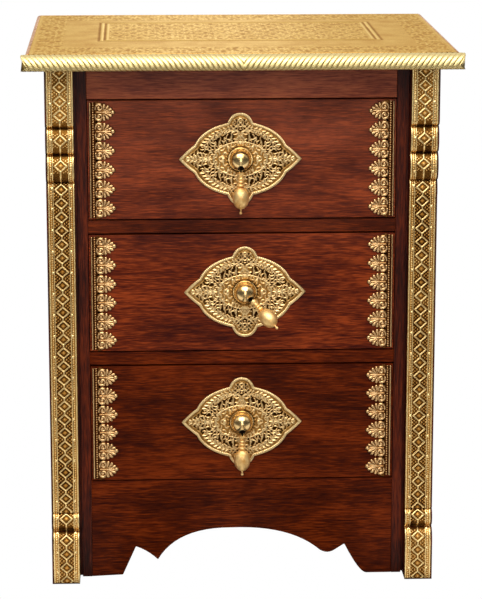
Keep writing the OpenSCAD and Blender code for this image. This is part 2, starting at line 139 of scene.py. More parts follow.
def stained_wood(name, grain, stain, roughness, gloss, bloom_and_sheen=0):
    material, tree = new_material(name)
    place = add(tree, "ShaderNodeTexCoord").outputs["Object"]

    def marks(size, detail, distortion):
        along, across = size
        scale = [1 / (across * MM)] * 3
        scale[grain] = 1 / (along * MM)
        spot = add(tree, "ShaderNodeMapping", {"Vector": place, "Scale": scale})
        return add(tree, "ShaderNodeTexNoise", {
            "Vector": spot.outputs[0], "Scale": 1, "Detail": detail,
            "Distortion": distortion}).outputs["Fac"]

    streak = marks(STREAK, 2, 0.3)
    line = marks(LINE, 2, 0.3)
    pore = marks(PORE, 1, 0)
    patch = marks(PATCH, 2, 0.4)
    figure = 0
    for mark, share in ((streak, 0.27), (line, 0.5), (patch, 0.23)):
        figure = add(tree, "ShaderNodeMath", {0: mark, 1: share, 2: figure},
                     operation="MULTIPLY_ADD").outputs[0]
    colour = add(tree, "ShaderNodeValToRGB", {"Fac": figure},
                 stops=zip((0.4, 0.5, 0.6), stain)).outputs["Color"]
    high = add(tree, "ShaderNodeSeparateXYZ", {0: place}).outputs["Z"]
    # Painted sheen: a paler colour mixed in patches, rising with height across the upper front
    wear_and_sheen = add(tree, "ShaderNodeMapRange", {
        "Value": high, "From Min": SHEEN_FROM, "From Max": SHEEN_TO, "To Min": 0,
        "To Max": bloom_and_sheen}).outputs[0]
    wear_and_sheen = add(tree, "ShaderNodeMath", {0: wear_and_sheen, 1: patch}, operation="MULTIPLY").outputs[0]
    colour = add(tree, "ShaderNodeMix", {0: wear_and_sheen, 6: colour, 7: srgb(PAINTED_SHEEN)},
                 data_type="RGBA").outputs[2]
    shade = add(tree, "ShaderNodeValToRGB", {"Fac": patch},
                stops=((0.3, "#d6d6d6"), (0.7, "#ffffff"))).outputs["Color"]
    open_pore = add(tree, "ShaderNodeMapRange", {
        "Value": pore, "From Min": 0.6, "From Max": 0.72, "To Min": 1, "To Max": 0.55}).outputs[0]
    for darker in (shade, open_pore):
        colour = add(tree, "ShaderNodeMix", {0: 1, 6: colour, 7: darker},
                     data_type="RGBA", blend_type="MULTIPLY").outputs[2]
    height = add(tree, "ShaderNodeMath", {0: line, 1: 0.4, 2: open_pore},
                 operation="MULTIPLY_ADD").outputs[0]
    bump = add(tree, "ShaderNodeBump", {"Height": height, "Strength": 0.35, "Distance": 0.15 * MM})
    shader = add(tree, "ShaderNodeBsdfPrincipled", {
        "Base Color": colour, "Roughness": roughness, "Specular IOR Level": gloss,
        "Normal": bump.outputs[0]})
    add(tree, "ShaderNodeOutputMaterial", {"Surface": shader.outputs[0]})
    return material


# Sheet brass, embossed and chased, then left to tarnish: the raised work is rubbed bright and pale,
# and olive-brown patina stays in the ground. The relief attribute says how high a point stands.
# Skimmed is the tint at a grazing view, where lacquered brass stays yellow and bare brass turns
# white. The pits of the hammer and the cast are drawn as coarse as the picture can show.
SHEET_PATCH = 26


def chased_brass(name, ground, middle, crest, roughness, pit_mm, skimmed="#ffffff"):
    material, tree = new_material(name)
    place = add(tree, "ShaderNodeTexCoord").outputs["Object"]
    relief = add(tree, "ShaderNodeAttribute", attribute_name="relief").outputs["Fac"]
    patch = add(tree, "ShaderNodeTexNoise", {
        "Vector": place, "Scale": 1 / (SHEET_PATCH * MM), "Detail": 3}).outputs["Fac"]
    pit = add(tree, "ShaderNodeTexNoise", {
        "Vector": place, "Scale": 1 / (pit_mm * MM), "Detail": 2}).outputs["Fac"]
    wear_and_sheen = relief
    for mark, share in ((patch, 0.35), (pit, 0.3)):
        wear_and_sheen = add(tree, "ShaderNodeMath", {0: mark, 1: share, 2: wear_and_sheen},
                   operation="MULTIPLY_ADD").outputs[0]
    colour = add(tree, "ShaderNodeValToRGB", {"Fac": wear_and_sheen},
                 stops=((0.36, ground), (0.72, middle), (1, crest))).outputs["Color"]
    dull = add(tree, "ShaderNodeMapRange", {
        "Value": wear_and_sheen, "From Min": 0.4, "From Max": 1.1, "To Min": roughness + 0.25,
        "To Max": roughness})
    bump = add(tree, "ShaderNodeBump", {"Height": pit, "Strength": 0.25, "Distance": 0.12 * MM})
    shader = add(tree, "ShaderNodeBsdfPrincipled", {
        "Base Color": colour, "Metallic": 1, "Roughness": dull.outputs[0], "Normal": bump.outputs[0],
        "Specular Tint": srgb(skimmed)})
    add(tree, "ShaderNodeOutputMaterial", {"Surface": shader.outputs[0]})
    return material


# Cast brass, turned and buffed, and rolled edging finished alike: smooth pale gold with brown
# tarnish in soft patches. Where its shade attribute is 1, in slots and holes, a very dark brown is
# painted for the shade that falls there.
CAST_PATCH = 9
BUFFING = 0.7
SHADE_BLACK = "#1a1007"


def cast_brass(name, tarnish, metal, roughness):
    material, tree = new_material(name)
    place = add(tree, "ShaderNodeTexCoord").outputs["Object"]
    painted_shade = add(tree, "ShaderNodeAttribute", attribute_name="painted_shade").outputs["Fac"]
    patch = add(tree, "ShaderNodeTexNoise", {
        "Vector": place, "Scale": 1 / (CAST_PATCH * MM), "Detail": 3}).outputs["Fac"]
    scratch = add(tree, "ShaderNodeTexNoise", {
        "Vector": place, "Scale": 1 / (BUFFING * MM), "Detail": 2}).outputs["Fac"]
    colour = add(tree, "ShaderNodeValToRGB", {"Fac": patch},
                 stops=((0.3, tarnish), (0.52, metal))).outputs["Color"]
    # Painted shade: very dark brown where the shade attribute is 1
    colour = add(tree, "ShaderNodeMix", {0: painted_shade, 6: colour, 7: srgb(SHADE_BLACK)},
                 data_type="RGBA").outputs[2]
    dull = add(tree, "ShaderNodeMapRange", {
        "Value": patch, "From Min": 0.3, "From Max": 0.6, "To Min": roughness + 0.12,
        "To Max": roughness})
    dull = add(tree, "ShaderNodeMix", {0: painted_shade, 2: dull.outputs[0], 3: 0.7})
    bump = add(tree, "ShaderNodeBump", {"Height": scratch, "Strength": 0.1, "Distance": 0.05 * MM})
    shader = add(tree, "ShaderNodeBsdfPrincipled", {
        "Base Color": colour, "Metallic": 1, "Roughness": dull.outputs[0],
        "Normal": bump.outputs[0]})
    add(tree, "ShaderNodeOutputMaterial", {"Surface": shader.outputs[0]})
    return material


# Turned steel, bright where it is zinc plated and nearly black where it has tarnished.
ZINC_BLOOM = 3


def turned_steel(name, dark, bright):
    material, tree = new_material(name)
    place = add(tree, "ShaderNodeTexCoord").outputs["Object"]
    bloom_and_sheen = add(tree, "ShaderNodeTexNoise", {
        "Vector": place, "Scale": 1 / (ZINC_BLOOM * MM), "Detail": 3}).outputs["Fac"]
    colour = add(tree, "ShaderNodeValToRGB", {"Fac": bloom_and_sheen},
                 stops=((0.3, dark), (0.7, bright))).outputs["Color"]
    dull = add(tree, "ShaderNodeMapRange", {"Value": bloom_and_sheen, "To Min": 0.3, "To Max": 0.5})
    shader = add(tree, "ShaderNodeBsdfPrincipled", {
        "Base Color": colour, "Metallic": 1, "Roughness": dull.outputs[0]})
    add(tree, "ShaderNodeOutputMaterial", {"Surface": shader.outputs[0]})
    return material


GRAIN_X, GRAIN_Y, GRAIN_Z = 0, 1, 2
# A paler copy of the red stain, painted light, for the top rail
LIT_STAIN = ("#682012", "#984224", "#ba6034")
RED_STAIN = ("#3e0d05", "#622008", "#8e3913")
# A darker copy of the red stain, painted shade, for the rails between the drawers, the apron and the
# bottom drawer's front
SHADED_STAIN = ("#340c03", "#501803", "#722a08")
DARK_STAIN = ("#260a03", "#451406", "#642409")
BARE = ("#6e4426", "#8f6039", "#b08355")
wood_rail_lit = stained_wood("stained hardwood painted paler as lit, grain across", GRAIN_X, LIT_STAIN, 0.36, 0.12, 0.5)
wood_across = stained_wood("stained hardwood, grain across", GRAIN_X, RED_STAIN, 0.36, 0.08, 0.5)
wood_shaded = stained_wood("stained hardwood painted darker as shade, grain across", GRAIN_X, SHADED_STAIN, 0.36, 0.05, 0.5)
wood_upright = stained_wood("stained hardwood, grain upright", GRAIN_Z, DARK_STAIN, 0.36, 0.12)
wood_deep = stained_wood("stained hardwood, grain front to back", GRAIN_Y, DARK_STAIN, 0.4, 0.12)
wood_bare_across = stained_wood("bare mango wood, grain across", GRAIN_X, BARE, 0.6, 0.3)
wood_bare_deep = stained_wood("bare mango wood, grain front to back", GRAIN_Y, BARE, 0.6, 0.3)
brass_sheet = chased_brass("embossed brass sheet", "#8c5820", "#bc8531", "#e0b45a", 0.38, 1.6,
                           skimmed="#f0eed0")
brass_rope = chased_brass("rope moulding brass", "#402a0c", "#b8984f", "#dcc68a", 0.4, 1.2)
brass_edging = cast_brass("rolled brass edging", "#8a5526", "#c88b4a", 0.38)
brass_strip = chased_brass("chased brass strip", "#42240a", "#c68a3a", "#fddf9c", 0.36, 1.2)
brass_corner = chased_brass("pressed brass corner strip", "#3c1a08", "#a8723a", "#eac088", 0.34, 1.2)
brass_plate = chased_brass("cast and chased brass", "#321c06", "#b88542", "#f2d094", 0.34, 1.2)
brass_knob = cast_brass("polished cast brass", "#cc9c58", "#f4d090", 0.18)
brass_drop = cast_brass("satin cast brass", "#dca860", "#ffd892", 0.5)
steel = turned_steel("zinc plated steel", "#6f7275", "#a3a6a8")
# The knob's pin is painted nearly dark through, as shade, where it shows in the slot
pin_steel_shaded = turned_steel("steel pin painted dark as shade", "#15110d", "#2e2721")


# Shapes

def finish_mesh(bm, name, material):
    """The object that a finished bmesh makes, at the origin, with its one material."""
    mesh = bpy.data.meshes.new(name)
    bm.to_mesh(mesh)
    bm.free()
    mesh.materials.append(material)
    obj = bpy.data.objects.new(name, mesh)
    bpy.context.scene.collection.objects.link(obj)
    return obj


def stands_for(obj, name):
    """Puts a piece in the place of a CAD node, on its body."""
    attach(obj, body_of[name])
    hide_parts(name)


def paint(name, material):
    """Gives a CAD node that stays its finish."""
    mesh = frame["nodes"][name].data
    mesh.materials.clear()
    mesh.materials.append(material)


# Wooden pieces, and the plain edging: the CAD shape with its arrises eased, by these widths
CAD_WELD = 0.002 * MM
EDGING_EASE = 0.4
RAIL_EASE = 0.7
POST_EASE = 0.8
FRONT_EASE = 1.0


def ease(bm, width):
    """Eases the sharp arrises of a CAD shape."""
    bmesh.ops.remove_doubles(bm, verts=bm.verts, dist=CAD_WELD)
    bmesh.ops.dissolve_limit(bm, angle_limit=math.radians(1), verts=bm.verts, edges=bm.edges)
    sharp = [edge for edge in bm.edges if len(edge.link_faces) == 2
             and edge.calc_face_angle(0) > math.radians(35)]
    made = bmesh.ops.bevel(bm, geom=sharp, offset=width * MM, offset_type="OFFSET", affect="EDGES",
                           segments=2, profile=0.5, material=-1, clamp_overlap=True)
    for face in made["faces"]:
        face.smooth = True


def eased(name, width, material):
    bm = bmesh.new()
    bm.from_mesh(frame["nodes"][name].data)
    ease(bm, width)
    stands_for(finish_mesh(bm, f"{name}_eased", material), name)


# The relief that a skin's back is given, for a colour as tarnished as the ground
BACK_RELIEF = 0.3
SEAM_WELD = 0.01 * MM


def skin(name, columns, rows, place, material):
    """A closed shell: a grid that place(column, row) bends to shape, with its seam welded and its
    ends filled. place returns points in millimetres, and the relief of each from 0 to 1."""
    bm = bmesh.new()
    bmesh.ops.create_grid(bm, x_segments=columns, y_segments=rows, size=0.5)
    layer = bm.verts.layers.float.new("relief")
    flat = np.array([vert.co for vert in bm.verts]) + 0.5
    points, relief = place(np.rint(flat[:, 0] * columns), np.rint(flat[:, 1] * rows))
    for vert, point, high in zip(bm.verts, points * MM, relief):
        vert.co = point
        vert[layer] = high
    bmesh.ops.remove_doubles(bm, verts=bm.verts, dist=SEAM_WELD)
    bmesh.ops.holes_fill(bm, edges=[edge for edge in bm.edges if edge.is_boundary])
    bmesh.ops.recalc_face_normals(bm, faces=bm.faces)
    for face in bm.faces:
        face.smooth = True
    return finish_mesh(bm, name, material)


def section(column, columns):
    """How far across its face a strip's column lies, and whether it is on the strip's back."""
    across = np.clip((column - 2) / (columns - 4), 0, 1)
    seam = (column == 0) | (column == columns)
    return np.where(seam, 0.5, across), (column < 2) | (column > columns - 2)


def line_length(line):
    return np.hypot(*np.diff(np.array(line), axis=0).T).sum()


def walk(line, fraction):
    """Points at fractions of a polyline's length, unit normals to its left, and the length there."""
    line = np.array(line, float)
    length = np.concatenate([[0], np.cumsum(np.hypot(*np.diff(line, axis=0).T))])
    at = fraction * length[-1]
    step = length[-1] / 2000

    def point(s):
        return np.stack([np.interp(s, length, line[:, 0]), np.interp(s, length, line[:, 1])], axis=1)

    ahead = point(np.minimum(at + step, length[-1])) - point(np.maximum(at - step, 0))
    ahead /= np.linalg.norm(ahead, axis=1)[:, None]
    return point(at), np.stack([-ahead[:, 1], ahead[:, 0]], axis=1), at


def arc(cx, cy, rx, ry, start, end, steps):
    """Points on an ellipse's arc, between two angles in degrees."""
    turn = np.radians(np.linspace(start, end, steps + 1))
    return list(zip(cx + rx * np.cos(turn), cy + ry * np.sin(turn)))


# Relief. Every pattern works in millimetres and gives heights from 0, the ground, to 1, the crest.

def rise(distance, half):
    """A rounded rise: 1 on its line, falling to 0 at half its width."""
    return np.clip(1 - (distance / half) ** 2, 0, 1)


def away(x, y, line):
    """Distance from each point to a polyline."""
    best = np.full(x.shape, 1e9)
    for (ax, ay), (bx, by) in zip(line[:-1], line[1:]):
        dx, dy = bx - ax, by - ay
        t = np.clip(((x - ax) * dx + (y - ay) * dy) / (dx * dx + dy * dy), 0, 1)
        best = np.minimum(best, np.hypot(x - ax - t * dx, y - ay - t * dy))
    return best


def stroke(x, y, start, end, half):
    """A leaf-shaped rise from start to end, widest past its middle."""
    (ax, ay), (bx, by) = start, end
    dx, dy = bx - ax, by - ay
    t = np.clip(((x - ax) * dx + (y - ay) * dy) / (dx * dx + dy * dy), 0, 1)
    swell = 0.55 + 0.45 * np.sin(math.pi * t ** 0.8)
    return rise(np.hypot(x - ax - t * dx, y - ay - t * dy), half * swell)


def dot(x, y, cx, cy, radius):
    return rise(np.hypot(x - cx, y - cy), radius)


def spoke_end(cx, degrees, reach):
    """The point at a distance from (cx, 0) in a direction."""
    turn = math.radians(degrees)
    return cx + reach * math.cos(turn), reach * math.sin(turn)


def spiral(cx, cy, radius, turns, start, handed):
    """A scroll's line, winding in from its outer end."""
    t = np.linspace(0, 1, 36)
    turn = math.radians(start) + handed * 2 * math.pi * turns * t
    reach = radius * (1 - 0.78 * t)
    return list(zip(cx + reach * np.cos(turn), cy + reach * np.sin(turn)))


def highest(*reliefs):
    return np.maximum.reduce(np.broadcast_arrays(*reliefs))


def foliage(x, y, pitch, length, half):
    """Small curled leaves that fill a ground: one to a cell of a grid, each shifted and turned."""
    column, row = np.floor(x / pitch), np.floor(y / pitch)
    parts = []
    for near in np.ndindex(3, 3):
        across, along = column + near[0] - 1, row + near[1] - 1
        turn = np.sin(across * 12.99 + along * 78.23) * 43758.5
        dx = x - (across + 0.5 + 0.22 * np.cos(turn * 5)) * pitch
        dy = y - (along + 0.5 + 0.22 * np.sin(turn * 7)) * pitch
        run = dx * np.cos(turn) + dy * np.sin(turn)
        off = dy * np.cos(turn) - dx * np.sin(turn) + run * run * 0.16
        parts.append(rise(np.hypot(np.maximum(np.abs(run) - length / 2, 0), off), half))
    return highest(*parts)


# Post strips: a chain of diamonds between two lines, with rows of beads and nails beside it.
# DIAMONDS are the heights of their centres above the floor, further apart where the post has its
# beads. GAP_DOTS fill the corners between them. Places are measured from the strip's middle line.
DIAMONDS = (3.6, 19.4, 35.3, 51.1, 75.7, *np.arange(83.3, 453, 15.4),
            480.3, 508.6, 536.9, 552.3, 567.8, 583.3)
DIAMOND_HALF = (6.6, 6.1)
GAP_DOTS = ((3.2, 7.3), (5.4, 5.8), (7.4, 4.2), (7.4, 7.3))
BORDER_PLACE = 8.9
BEADS_FROM = 9.8
BEADS_PLACE = 11.0
BEADS_PITCH = 2.6
NAIL_PLACE = 10.3
NAIL_PITCH = 24
MARGIN_PLACE = 13.6


def post_relief(x, s, t):
    """Relief x across the strip and s along it, at a distance t from the nearest diamond's centre."""
    side = np.abs(x)
    slope = 1 / math.hypot(1 / DIAMOND_HALF[0], 1 / DIAMOND_HALF[1])
    lozenge = side / DIAMOND_HALF[0] + t / DIAMOND_HALF[1]
    cord = rise(np.abs(lozenge - 1) * slope, 1.0)
    link = rise(side, 1.0) * (t > DIAMOND_HALF[1] - 0.5)
    heart = 0.45 * np.clip(1.3 - 2.2 * lozenge, 0, 1)
    dots = [0.62 * dot(side, t, cx, cy, 0.95) for cx, cy in GAP_DOTS]
    border = 0.86 * rise(side - BORDER_PLACE, 0.75)
    bead = dot(side, s % BEADS_PITCH, BEADS_PLACE, BEADS_PITCH / 2, 1.15)
    beads = (0.28 + 0.44 * bead) * (side > BEADS_FROM)
    margin = 0.78 * rise(side - MARGIN_PLACE, 1.2)
    nails = 1.3 * dot(side, s % NAIL_PITCH, NAIL_PLACE, NAIL_PITCH / 2, 1.6)
    return highest(cord, link, heart, *dots, border, beads, margin, nails, 0.05)


POST_STRIP_DEPTH = 0.8
POST_MARGIN = 1.7
POST_RELIEF = 0.95
POST_SHAFT_BACK = 12
POST_RUBBED = 0.12
STRIP_STEP = 0.55


def post_strip(side):
    name = f"post_brass_{side}"
    low, high = (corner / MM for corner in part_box(name))
    front = {}
    for vert in frame["nodes"][name].data.vertices:
        z = round(vert.co.z / MM, 2)
        front[z] = min(front.get(z, 0), vert.co.y / MM)
    line = sorted(((y, z) for z, y in front.items()), key=lambda point: point[1])
    along = np.concatenate([[0], np.cumsum(np.hypot(*np.diff(np.array(line), axis=0).T))])
    centres = np.interp(DIAMONDS, [z for _, z in line], along)
    inner, outer = (high.x, low.x) if side == "left" else (low.x, high.x)
    outer -= SIDES[side] * POST_MARGIN
    columns = int(abs(outer - inner) / STRIP_STEP) + 4
    rows = int(along[-1] / STRIP_STEP)

    def place(column, row):
        across, behind = section(column, columns)
        at, normal, s = walk(line, row / rows)
        x = min(inner, outer) + across * abs(outer - inner)
        nearest = np.abs(s[:, None] - centres).min(axis=1)
        relief = np.where(behind, BACK_RELIEF, post_relief(x - (inner + outer) / 2, s, nearest))
        lift = np.where(behind, -POST_STRIP_DEPTH, (relief - 0.35) * POST_RELIEF)
        y = at[:, 0] + normal[:, 0] * lift
        z = at[:, 1] + normal[:, 1] * lift
        rubbed = POST_RUBBED * np.clip(1 - (at[:, 0] - low.y) / POST_SHAFT_BACK, 0, 1)
        return np.stack([x, y, z], axis=1), relief + rubbed

    stands_for(skin(f"chased_post_strip_{side}", columns, rows, place, brass_strip), name)


# Rope moulding along the top's front: strands that slant down towards its middle, with grooves
# that cut deeper towards the lower edge, and round ends
ROPE_PITCH = 5.7
ROPE_SLANT = 0.62
ROPE_RELIEF = 1.2
ROPE_LIP = 5
ROPE_FADE = 2.5
ROPE_STEP = 0.55


def rope_moulding():
    low, high = (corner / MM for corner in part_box("top_edge_moulding"))
    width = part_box("top_brass_sheet")[0].y / MM - low.y
    middle = low.z + ROPE_LIP
    line = (arc(width, middle, width, high.z - middle, 90, 180, 24)
            + arc(ROPE_LIP, middle, ROPE_LIP, ROPE_LIP, 180, 270, 8)[1:] + [(width, low.z)])
    line = line[::-1]
    length = line_length(line)
    columns = int(length / ROPE_STEP)
    rows = int((high.x - low.x) / ROPE_STEP)
    nose = width / 2

    def place(column, row):
        fraction = np.clip((column - 1) / (columns - 2), 0, 1)
        seam = (column == 0) | (column == columns)
        at, normal, s = walk(line, fraction)
        inset = np.where(seam, width, at[:, 0])
        half = high.x - nose + np.sqrt(np.maximum(nose ** 2 - (inset - nose) ** 2, 0))
        x = (2 * row / rows - 1) * half
        phase = (np.abs(x) - ROPE_SLANT * s) / ROPE_PITCH
        depth = np.interp((at[:, 1] - low.z) / (high.z - low.z), [0.3, 0.8], [1, 0.75])
        strand = 1 - depth * np.abs(2 * (phase % 1) - 1) ** 6
        shallow = np.clip(np.minimum(s, length - s) / ROPE_FADE, 0, 1)
        relief = np.where(seam, BACK_RELIEF, strand * shallow)
        lift = np.where(seam, 0, (relief - 1) * ROPE_RELIEF)
        y = low.y + inset + normal[:, 0] * lift
        z = np.where(seam, middle, at[:, 1] + normal[:, 1] * lift)
        return np.stack([x, y, z], axis=1), relief

    stands_for(skin("rope_moulding", columns, rows, place, brass_rope), "top_edge_moulding")


def plain_edging():
    """The moulding's other three lengths: the CAD node without its front length."""
    bm = bmesh.new()
    bm.from_mesh(frame["nodes"]["top_edge_moulding"].data)
    sheet_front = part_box("top_brass_sheet")[0].y
    rope = [vert for vert in bm.verts if vert.co.y < sheet_front + 0.05 * MM]
    bmesh.ops.delete(bm, geom=rope, context="VERTS")
    ease(bm, EDGING_EASE)
    stands_for(finish_mesh(bm, "plain_edging", brass_edging), "top_edge_moulding")


# Brass sheet on the top: a beaded edge, a floral border, plain metal, and a floral panel inside a
# double line
PANEL_LOW = (-156, -70)
PANEL_HIGH = (160, 112)
PANEL_FRAME = 11
BORDER_SIDE = 34
BORDER_END = 58
BORDER_EDGE = 5
RIB_PITCH = 5.3
TOP_STEP = 1.35
TOP_RELIEF = 0.5
PLAIN_HIGH = 0.5


def flowers(x, y, pitch, radius):
    """Eight-petalled flowers on a staggered grid, among curled leaves."""
    row = np.floor(y / pitch)
    cx = (x + row * pitch / 2) % pitch - pitch / 2
    cy = y % pitch - pitch / 2
    r, turn = np.hypot(cx, cy), np.arctan2(cy, cx)
    petal = rise(r - radius * 0.62, radius * 0.42) * (0.6 + 0.4 * np.cos(8 * turn))
    leaves = foliage(x, y, 7, 4.5, 1.7) * (r > radius)
    return 0.3 + 0.55 * highest(petal, 0.9 * rise(r, radius * 0.3), 0.9 * leaves)


def top_relief(x, y, low, high):
    """Relief of the sheet between two corners."""
    edge_x, edge_y = high.x - np.abs(x), np.minimum(y - low.y, high.y - y)
    edge = np.minimum(edge_x, edge_y)
    along = np.where(edge_x < edge_y, y, x)
    rib = 0.9 * rise(edge - 2, 2) * (0.7 + 0.3 * np.cos(2 * math.pi * along / RIB_PITCH))
    in_border = ((edge_x < BORDER_SIDE) | (edge_y < BORDER_END)) & (edge > BORDER_EDGE)
    panel = np.minimum.reduce([x - PANEL_LOW[0], PANEL_HIGH[0] - x,
                               y - PANEL_LOW[1], PANEL_HIGH[1] - y])
    lines = highest(rise(panel - 2, 1.8), rise(panel - 8, 1.5)) * (panel > 0)
    furrows = 0.45 * highest(rise(panel - 5, 1.6), rise(panel + 1.4, 1.6))
    relief = np.where(in_border, flowers(x, y, 23, 7.5), PLAIN_HIGH)
    relief = np.where(panel > PANEL_FRAME, flowers(x, y, 17, 6), relief)
    return highest(relief - furrows, rib, lines)


def top_sheet():
    low, high = (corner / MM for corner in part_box("top_brass_sheet"))
    columns = int((high.x - low.x) / TOP_STEP) + 4
    rows = int((high.y - low.y) / TOP_STEP)

    def place(column, row):
        across, behind = section(column, columns)
        x = low.x + across * (high.x - low.x)
        y = low.y + row / rows * (high.y - low.y)
        relief = np.where(behind, BACK_RELIEF, top_relief(x, y, low, high))
        z = np.where(behind, low.z, high.z + (relief - 1) * TOP_RELIEF)
        return np.stack([x, y, z], axis=1), relief

    stands_for(skin("embossed_top_sheet", columns, rows, place, brass_sheet), "top_brass_sheet")


# Corner strips: a lined and beaded band, with palmettes that stand out over the wood. A petal is
# its direction in degrees and its reach.
PALMETTE_CENTRE = 8.5
PETALS = ((79, 7.7), (49, 8.1), (22, 9.0))


def palmette_relief(x, y):
    """One palmette, growing along +x from a band whose edge is at x = 0: two scrolls at its foot,
    and a fan of ribs that swell into fat rounded tips, over a dark web."""
    side = np.abs(y)
    parts = [0.95 * rise(away(x, side, spiral(4.6, 4.7, 4.5, 1.2, 200, -1)), 1.15),
             0.85 * dot(x, side, 4.6, 4.8, 1.3),
             0.95 * stroke(x, side, (2.6, 8.8), (6.6, 9.0), 1.2),
             0.6 * stroke(x, side, (1.0, 0.2), (8.4, 0.2), 0.9),
             0.75 * stroke(x, side, (8.4, 0), (17.5, 0), 1.3),
             0.5 * dot(x, side, PALMETTE_CENTRE + 1, 0, 4),
             np.minimum(1.25 * dot(x, side, 19.3, 0, 2.4), 1)]
    for turn, reach in PETALS:
        foot, neck, tip = (spoke_end(PALMETTE_CENTRE, turn, out)
                           for out in (2.6, reach - 1.4, reach + 0.6))
        parts.append(0.75 * stroke(x, side, foot, tip, 1.2))
        parts.append(np.minimum(1.3 * rise(away(x, side, [neck, tip]), 1.6), 1))
    web = 0.15 * ((x - PALMETTE_CENTRE) / 10 + (side / 9.4) ** 2 < 0.95) * (x > 0)
    return highest(*parts, web)


def round_reach(relief, centre, turn, longest):
    """How far a relief reaches from its centre along each direction."""
    reach = np.linspace(0, longest, 160)
    radius, angle = np.meshgrid(reach, turn)
    marked = relief(centre + radius * np.cos(angle), radius * np.sin(angle)) > 0.02
    return (reach * marked).max(axis=1)


PALMETTES = 6
PALMETTE_LONGEST = 14
PALMETTE_EDGE = 0.35
PALMETTE_SUNK = 0.3
PALMETTE_SPOKES = 150
PALMETTE_RINGS = 26
BAND_W = 7
BAND_STEP = 0.5
BAND_BEAD_PITCH = 2.7
CORNER_SHEET = 0.7
CORNER_RELIEF = 1.0


def band_relief(x, s):
    """Across a corner strip's band, from its outer edge: a line, then a row of beads."""
    bead = dot(x, s % BAND_BEAD_PITCH, 4.4, BAND_BEAD_PITCH / 2, 1.15)
    return highest(0.9 * rise(x - 1.0, 0.9), 0.75 * bead)


def corner_strip(level, side):
    name = f"{level}_corner_strip_{side}"
    low, high = (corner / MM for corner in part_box(name))
    outer = low.x if side == "left" else high.x
    inward = -SIDES[side]
    length = high.z - low.z
    columns = int(BAND_W / BAND_STEP) + 4
    rows = int(length / BAND_STEP)

    def band(column, row):
        across, behind = section(column, columns)
        x, s = across * BAND_W, row / rows * length
        relief = np.where(behind, BACK_RELIEF, band_relief(x, s))
        y = high.y - np.where(behind, 0, CORNER_SHEET + relief * CORNER_RELIEF)
        return np.stack([outer + inward * x, y, low.z + s], axis=1), relief

    pieces = [skin(name + "_work", columns, rows, band, brass_corner)]
    spokes, rings = PALMETTE_SPOKES, PALMETTE_RINGS
    directions = np.linspace(0, 2 * math.pi, spokes + 1)
    outline = round_reach(palmette_relief, PALMETTE_CENTRE, directions, PALMETTE_LONGEST)
    outline += PALMETTE_EDGE
    pitch = length / PALMETTES

    def leaf(spoke, ring):
        behind = ring > rings - 2
        fraction = np.where(ring == rings, 0, np.clip(ring / (rings - 2), 0, 1))
        radius = fraction * outline[spoke.astype(int)]
        turn = 2 * math.pi * spoke / spokes
        x, z = PALMETTE_CENTRE + radius * np.cos(turn), radius * np.sin(turn)
        relief = np.where(behind, BACK_RELIEF, palmette_relief(x, z))
        y = high.y - np.where(behind, 0, CORNER_SHEET + relief * CORNER_RELIEF)
        return np.stack([outer + inward * (BAND_W - PALMETTE_SUNK + x), y, z], axis=1), relief

    for i in range(PALMETTES):
        piece = skin("palmette", spokes, rings, leaf, brass_corner)
        for vert in piece.data.vertices:
            vert.co.z += (low.z + (i + 0.5) * pitch) * MM
        pieces.append(piece)
    with bpy.context.temp_override(active_object=pieces[0], selected_editable_objects=pieces):
        bpy.ops.object.join()
    stands_for(pieces[0], name)


# Backplates: a milled rim, palm fronds in the tips, a star flower inside each, vines along the
# shoulders, a flower in the lobes, and an oval ring with beads round the knob's seat. The ring of
# metal beside the seat, UNRUBBED wide, stays tarnished. Beads are centres and radii, and strokes
# are a height, a foot, a tip and half a width, all from the plate's middle.
SEAT_R = 13.6
SEAT_HIGH = 0.47
UNRUBBED = 3
PLATE_SHEET = 0.75
PLATE_RELIEF = 1.6
PLATE_SPOKES = 720
PLATE_RINGS = 118
RING = (29, 19)
STAR_PLACE = 35.6
FROND_PLACE = 40.5
FROND_PITCH = 3.9
VINE = ((5.5, 31.5), (13, 32.5), (21, 30.5), (29, 26), (36, 19.5), (42, 12.5))
RING_BEADS = (((19, 0), 2.7), ((13.6, 13.0), 2.0), ((0, 17.4), 2.3))
PLATE_STROKES = (
    (0.6, (40, 0), (57, 0), 0.9), (0.8, (11.2, 37.5), (1.2, 28.2), 1.1),
    (0.75, (8.6, 40.6), (4.4, 35.0), 1.0), (0.75, (7.0, 44.2), (4.6, 41.0), 0.9),
    (0.8, (1.4, 18.6), (3.6, 22.6), 1.2), (0.8, (2.0, 16.6), (5.4, 19.4), 1.1),
    (0.8, (0, 20), (0, 26.5), 1.1))


def leaves_along(line, spacing, length, half, x, y):
    """Leaves in pairs along a vine, leaning forward."""
    total = line_length(line)
    points, normals, _ = walk(line, np.arange(1.5, total, spacing) / total)
    parts = []
    for (px, py), (nx, ny) in zip(points, normals):
        for hand in (-1, 1):
            foot = (px + 0.9 * hand * nx, py + 0.9 * hand * ny)
            tip = (px + length * (hand * nx * 0.8 + ny * 0.6),
                   py + length * (hand * ny * 0.8 - nx * 0.6))
            parts.append(stroke(x, y, foot, tip, half))
    return highest(*parts)


